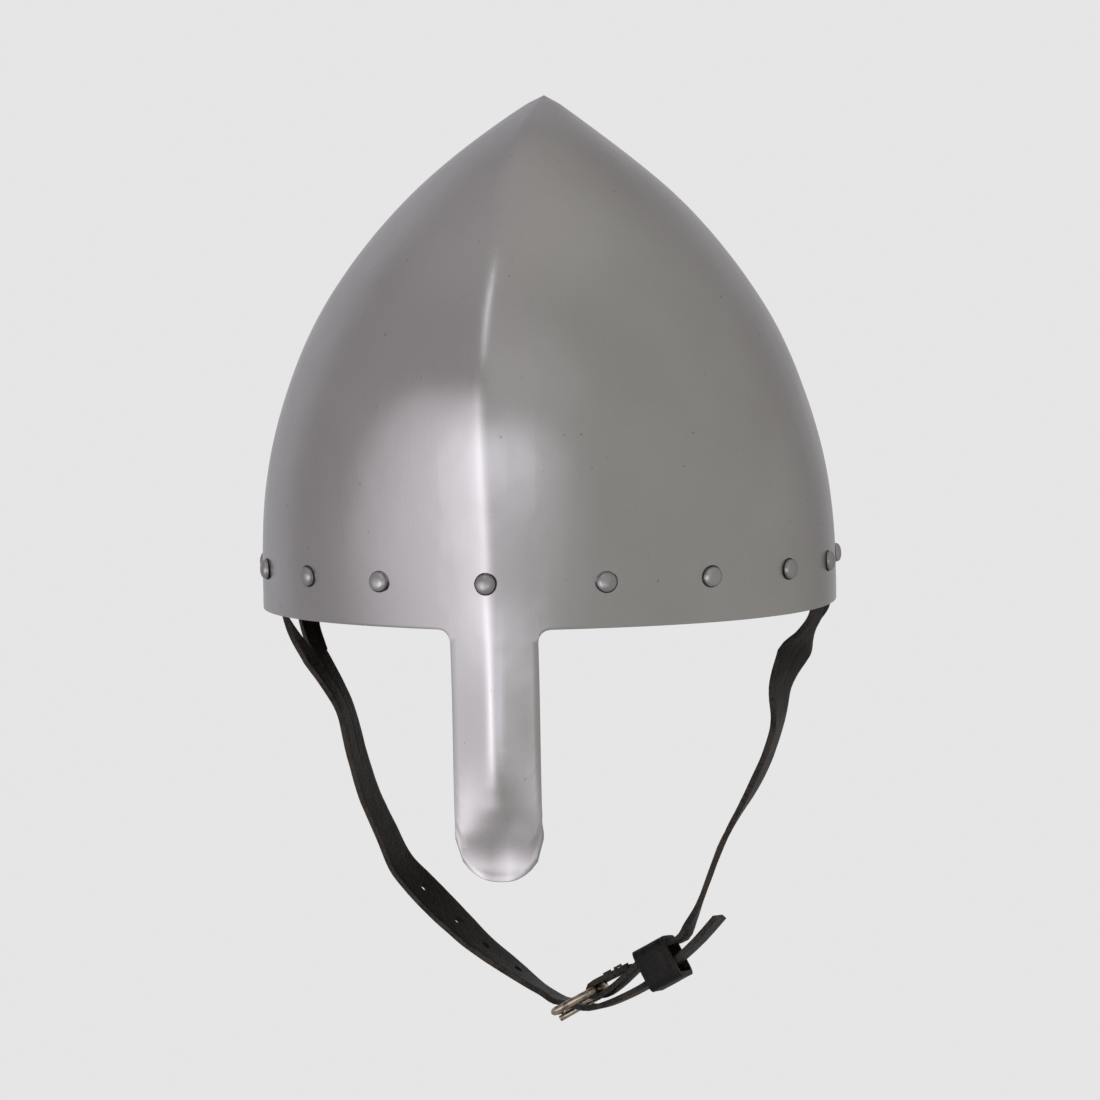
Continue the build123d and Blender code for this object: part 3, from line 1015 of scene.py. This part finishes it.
def buildStraps():
    longStations = runStations(longRun, 1, longInBuckle)
    shortStations = runStations(shortRun, -1, shortInBuckle)
    holes = []
    for number, share in punched:
        first, across = between(longStations, number + share)
        along = between(longStations, number + share + 0.05)[0] - first
        normal = along.cross(across).normalized()
        holes.append((first, normal, strapShape["hole"] / 2, 0, along))
    slant = (atBuckle(*usedHoleTo) - atBuckle(*usedHoleFrom)).normalized()
    through = slant.cross(buckleAcross).normalized()
    middle = atBuckle(*usedHole["place"])
    holes.append((middle, through, usedHole["radius"], usedHole["stretch"], slant))
    slot = [(atBuckle(0, 0), buckleInward, prongSlot["radius"], prongSlot["stretch"], buckleAlong)]
    longEnd, shortEnd = strapShape["longSlitEnd"], strapShape["shortSlitEnd"]
    longStrap = buildStrap("long_strap", longStations, "left", longEnd, holes, "chin_strap_long")
    shortStrap = buildStrap(
        "short_strap", shortStations, "right", shortEnd, slot, "chin_strap_short"
    )
    return longStrap, shortStrap


longStrap, shortStrap = buildStraps()
print("straps", len(longStrap.data.polygons), len(shortStrap.data.polygons), "faces")

# keeper: distances along the strap and inward are measured from the buckle hinge
keeperShape = {
    "start": 0.0190,
    "length": 0.0130,
    "low": -0.0106,
    "high": 0.0057,
    "inner": 0.0176,
    "wall": 0.0018,
    "corner": 0.0027,
    "edge": 0.0004,
    "step": 0.0016,
    "columns": (0, 0.05, 0.10, 0.13, 0.16, 0.30, 0.5, 0.70, 0.84, 0.87, 0.90, 0.95, 1),
    "creased": (0.13, 0.87),  # pressed lines near both edges
    "crease": 0.00028,
    "wave": 0.00018,
    "waveScale": 160,
}


def roundedLoop(width, height, radius, step):
    # points of a rounded rectangle about the origin, from the middle of the top
    straight = (width / 2 - radius, height / 2 - radius)
    points = []
    for quarter, (sideX, sideY) in enumerate(((1, 1), (1, -1), (-1, -1), (-1, 1))):
        centre = Vector((sideX * straight[0], sideY * straight[1]))
        for part in range(5):
            turn = math.radians(90 - 90 * quarter - 22.5 * part)
            points.append(centre + Vector((math.cos(turn), math.sin(turn))) * radius)
    fine = []
    for first, second in zip(points, points[1:] + points[:1]):
        count = max(1, round((second - first).length / step))
        fine += [first.lerp(second, k / count) for k in range(count)]
    return fine


def buildKeeper():
    shape = keeperShape
    loop = roundedLoop(
        shape["inner"] + shape["wall"],
        shape["high"] - shape["low"] - shape["wall"],
        shape["corner"],
        shape["step"],
    )
    middle = (shape["high"] + shape["low"]) / 2
    columns = shape["columns"]

    def place(row, column):
        spot = loop[row % len(loop)]
        share = columns[column]
        dip = shape["crease"] if share in shape["creased"] else 0
        centre = atBuckle(shape["start"] + shape["length"] * share, spot.y + middle, spot.x)
        outward = (buckleAcross * spot.x + buckleInward * spot.y).normalized()
        wave = noise.noise(centre * shape["waveScale"]) * shape["wave"]
        return centre - outward * (dip - wave)

    bm = bmesh.new()
    sheetOf(bm, len(loop), len(columns) - 1, place)
    weld(bm, joinSheets)
    bmesh.ops.recalc_face_normals(bm, faces=bm.faces)
    piece = newPiece(bm, "keeper_loop", [strapLeather, strapEdge])
    thicken(piece, shape["wall"])
    softenEdges(piece, shape["edge"])
    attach(piece, "keeper")
    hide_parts("strap_keeper")
    return piece


keeperLoop = buildKeeper()
print("keeper", len(keeperLoop.data.polygons), "faces")

# leather liner: the band and the tongues, as softened copies of the CAD
linerShape = {
    "edge": 0.00035,
    "slice": 0.006,
    "topClear": 0.002,
    "wave": 0.00035,
    "waveScale": 34,
    "bulge": 0.4,
    "fade": 0.03,  # the waves die away towards the top and bottom edges
}


def buildLinerPiece(node, number):
    shape = linerShape
    bm = bmesh.new()
    bm.from_mesh(cadNodes[node].data)
    weld(bm)
    low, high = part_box(node)
    height = low.z + shape["slice"]
    while height < high.z - shape["topClear"]:
        parts = list(bm.verts) + list(bm.edges) + list(bm.faces)
        bmesh.ops.bisect_plane(bm, geom=parts, plane_co=(0, 0, height), plane_no=(0, 0, 1))
        height += shape["slice"]
    for vertex in bm.verts:
        above = min(1, max(0, (vertex.co.z - low.z) / shape["fade"]))
        below = min(1, max(0, (high.z - vertex.co.z) / shape["fade"]))
        inward = -Vector((vertex.co.x, vertex.co.y, 0)).normalized()
        wave = noise.noise(vertex.co * shape["waveScale"] + Vector((number, 0, 0)))
        vertex.co += inward * (wave + shape["bulge"]) * shape["wave"] * above * below
    for face in bm.faces:
        face.material_index = 0
    piece = newPiece(bm, node + "_leather", [linerLeather])
    softenEdges(piece, shape["edge"])
    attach(piece, "helmet")
    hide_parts(node)
    return piece


linerNodes = ["liner_band"] + [f"liner_tongue_{number}" for number in range(1, 9)]
linerPieces = [buildLinerPiece(node, number) for number, node in enumerate(linerNodes)]
print("liner", len(linerPieces), "pieces")


# CAD nodes that keep their own shape
def finishNode(node, material):
    mesh = cadNodes[node].data
    mesh.materials.clear()
    mesh.materials.append(material)


finishNode("rivet_burrs", rivetSteel)
finishNode("buckle_frame", buckleBrass)
finishNode("buckle_prong", buckleBrass)
finishNode("crown_lace", laceLeather)
finishNode("liner_stitching", waxedThread)
finishNode("fold_stitching", waxedThread)

# floor, light and camera; angles in degrees
studio = {
    "floorHeight": -0.30,
    "floorRadius": 0.36,
    "backdrop": 0.79,
    "floorPale": (0.80, 0.795, 0.79, 1),
    "floorDark": (0.76, 0.755, 0.75, 1),
    "roomLeft": (0.425, 0.405, 0.41, 1),
    "roomRight": (0.46, 0.45, 0.425, 1),
    "behind": (0.80, 0.79, 0.81, 1),
    "wallLean": 0.4,  # the bright wall behind reaches further round on the left
    "wallSpan": (0.62, 1.05),
    "sheets": (1.0, 0.74, 0.46),  # sizes of the sheets of light in one soft box
    "sheetGap": 0.01,
    "lens": 89.2,
    "sensor": 36,
    "shift": (-0.0011, 0.0449),
    "from": (0.1738, -0.9805, 0.0915),
    "turn": 10.05,
    "tilt": 5.25,
    "roll": -0.82,
}


def buildFloor():
    material, shader = newMaterial("pale floor")
    grain = shader.noise(60, 4)
    shade = shader.mix(grain, studio["floorDark"], studio["floorPale"])
    shader.surface({"Base Color": shade, "Roughness": 0.75 + (grain - 0.5) * 0.1})
    bm = bmesh.new()
    made = bmesh.ops.create_circle(bm, cap_ends=True, segments=96, radius=studio["floorRadius"])
    bmesh.ops.translate(bm, verts=made["verts"], vec=(0, 0, studio["floorHeight"]))
    floor = newPiece(bm, "floor", [material])


def buildWorld():
    world = bpy.data.worlds.new("studio")
    bpy.context.scene.world = world
    shader = Shader(world)
    direction = shader.node("TexCoord", {}, {}, "Generated")
    behind = shader.node("SeparateXYZ", {}, {"Vector": direction}, "Y")
    across = shader.node("SeparateXYZ", {}, {"Vector": direction}, "X")
    room = shader.mix(shader.step(across, -0.5, 0.5), studio["roomLeft"], studio["roomRight"])
    wall = shader.step(behind - across * studio["wallLean"], *studio["wallSpan"])
    colour = shader.mix(wall, room, studio["behind"])
    seen = shader.node("LightPath", {}, {}, "Is Camera Ray")
    plain = (studio["backdrop"],) * 3 + (1,)
    colour = shader.mix(seen, colour, plain)
    shader.output("World", shader.node("Background", {}, {"Color": colour, "Strength": 1.0}))


# each soft box: name, place, width, height, brightness and colour
softBoxes = [
    ("left soft box", (-0.92, -1.15, -0.28), 2.1, 1.45, 0.19, (1.0, 0.975, 1.03)),
    ("inner soft box", (-0.50, -1.22, -0.33), 0.80, 1.05, 0.25, (1.0, 0.98, 1.04)),
    ("ridge strip", (-0.44, -1.25, -0.14), 0.26, 1.10, 0.42, (1.0, 0.99, 1.02)),
    ("high strip", (-0.19, -0.80, 1.00), 0.09, 1.10, 0.8, (1.0, 0.99, 1.01)),
    ("front soft box", (0.15, -1.25, -0.21), 0.98, 0.50, 0.32, (0.98, 0.97, 1.07)),
    ("front wash", (0.35, -1.20, 0.55), 1.3, 1.5, 0.05, (0.98, 0.98, 1.04)),
    ("top light", (-0.2, 0.2, 2.4), 4.5, 4.5, 0.03, (1.0, 0.99, 0.95)),
]


def softLight(name, place, width, height, brightness, colour):
    # sheets of light, one before another, so the box fades towards its edges
    for number, share in enumerate(studio["sheets"]):
        data = bpy.data.lights.new(name, "AREA")
        data.shape = "ELLIPSE"
        data.size = width * share
        data.size_y = height * share
        data.energy = brightness * math.pi * data.size * data.size_y * math.pi / 4
        data.color = colour
        light = bpy.data.objects.new(name, data)
        light.location = Vector(place) * (1 - studio["sheetGap"] * number)
        light.rotation_mode = "QUATERNION"
        light.rotation_quaternion = (-Vector(place)).to_track_quat("-Z", "Y")
        bpy.context.scene.collection.objects.link(light)


def buildCamera():
    data = bpy.data.cameras.new("camera")
    data.lens = studio["lens"]
    data.sensor_width = studio["sensor"]
    data.shift_x, data.shift_y = studio["shift"]
    camera = bpy.data.objects.new("camera", data)
    bpy.context.scene.collection.objects.link(camera)
    turn, tilt, roll = (math.radians(studio[k]) for k in ("turn", "tilt", "roll"))
    forward = Vector(
        (-math.sin(turn) * math.cos(tilt), math.cos(turn) * math.cos(tilt), -math.sin(tilt))
    )
    level = Vector((math.cos(turn), math.sin(turn), 0))
    up = level.cross(forward)
    right = level * math.cos(roll) + up * math.sin(roll)
    camera.location = studio["from"]
    camera.rotation_mode = "QUATERNION"
    upRolled = up * math.cos(roll) - level * math.sin(roll)
    axes = (right, upRolled, -forward)
    turned = [[axis[k] for axis in axes] for k in range(3)]
    camera.rotation_quaternion = Matrix(turned).to_quaternion()
    bpy.context.scene.camera = camera


buildFloor()
buildWorld()
for box in softBoxes:
    softLight(*box)
buildCamera()
bpy.context.scene.view_settings.view_transform = "Standard"
print("stage set")
